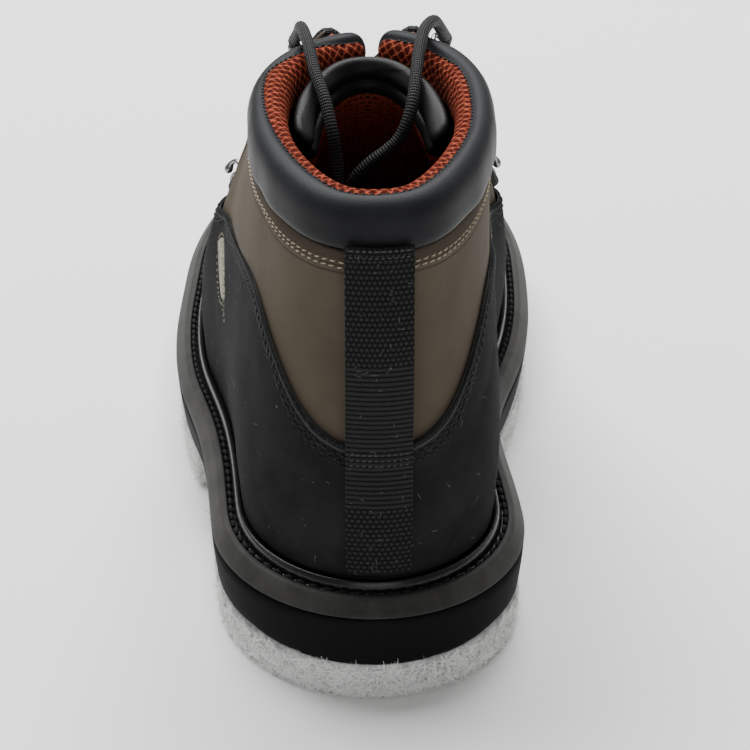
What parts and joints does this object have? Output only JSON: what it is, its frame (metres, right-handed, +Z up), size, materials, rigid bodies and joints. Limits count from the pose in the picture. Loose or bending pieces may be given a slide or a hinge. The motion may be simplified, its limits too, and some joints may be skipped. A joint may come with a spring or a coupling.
{
  "type": "wading boot",
  "caption": "Left wading boot: laced upper with padded collar and tongue, rear pull tab, stitched welt and thick felt outsole in two pads",
  "frame": {"origin": "the middle of the heel's felt pad, on the floor, 45 mm in front of the back of the heel", "axes": "+Z is up; +Y runs along the boot to its toe; +X points to the boot's inner (medial) side, the wearer's right for this left boot"},
  "size_m": [0.1228, 0.325, 0.1626],
  "materials": {
    "felt": "off-white pressed fibre felt, fuzzy at its cut edge",
    "midsole_rubber": "smooth matt black rubber",
    "welt_rubber": "dark grey moulded rubber, slightly glossy on the bead",
    "footbed": "black foam footbed with a fabric face",
    "taupe_fabric": "taupe coated microfibre, even and matt",
    "black_nubuck": "black nubuck, matt, with lint and scuffs",
    "collar_leather": "smooth black padded leather",
    "tongue_leather": "smooth black synthetic leather over foam",
    "webbing": "black woven webbing",
    "metal": "dark plated steel",
    "lace": "round braided black lace"
  },
  "bodies": {
    "root": {"heel_felt": "felt", "forefoot_felt": "felt", "midsole": "midsole_rubber", "welt": "welt_rubber", "insole": "footbed", "upper": "taupe_fabric", "overlay": "black_nubuck", "eyestay_lateral": "taupe_fabric", "eyestay_medial": "taupe_fabric", "collar": "collar_leather", "tongue": "tongue_leather", "pull_tab": "webbing", "hook_lateral_1": "metal", "hook_lateral_2": "metal", "hook_lateral_3": "metal", "loop_lateral_1": "metal", "loop_lateral_2": "metal", "loop_lateral_3": "metal", "hook_medial_1": "metal", "hook_medial_2": "metal", "hook_medial_3": "metal", "loop_medial_1": "metal", "loop_medial_2": "metal", "loop_medial_3": "metal", "lace_crossings": "lace", "lace_end_lateral": "lace", "lace_end_medial": "lace"}
  },
  "joints": []
}
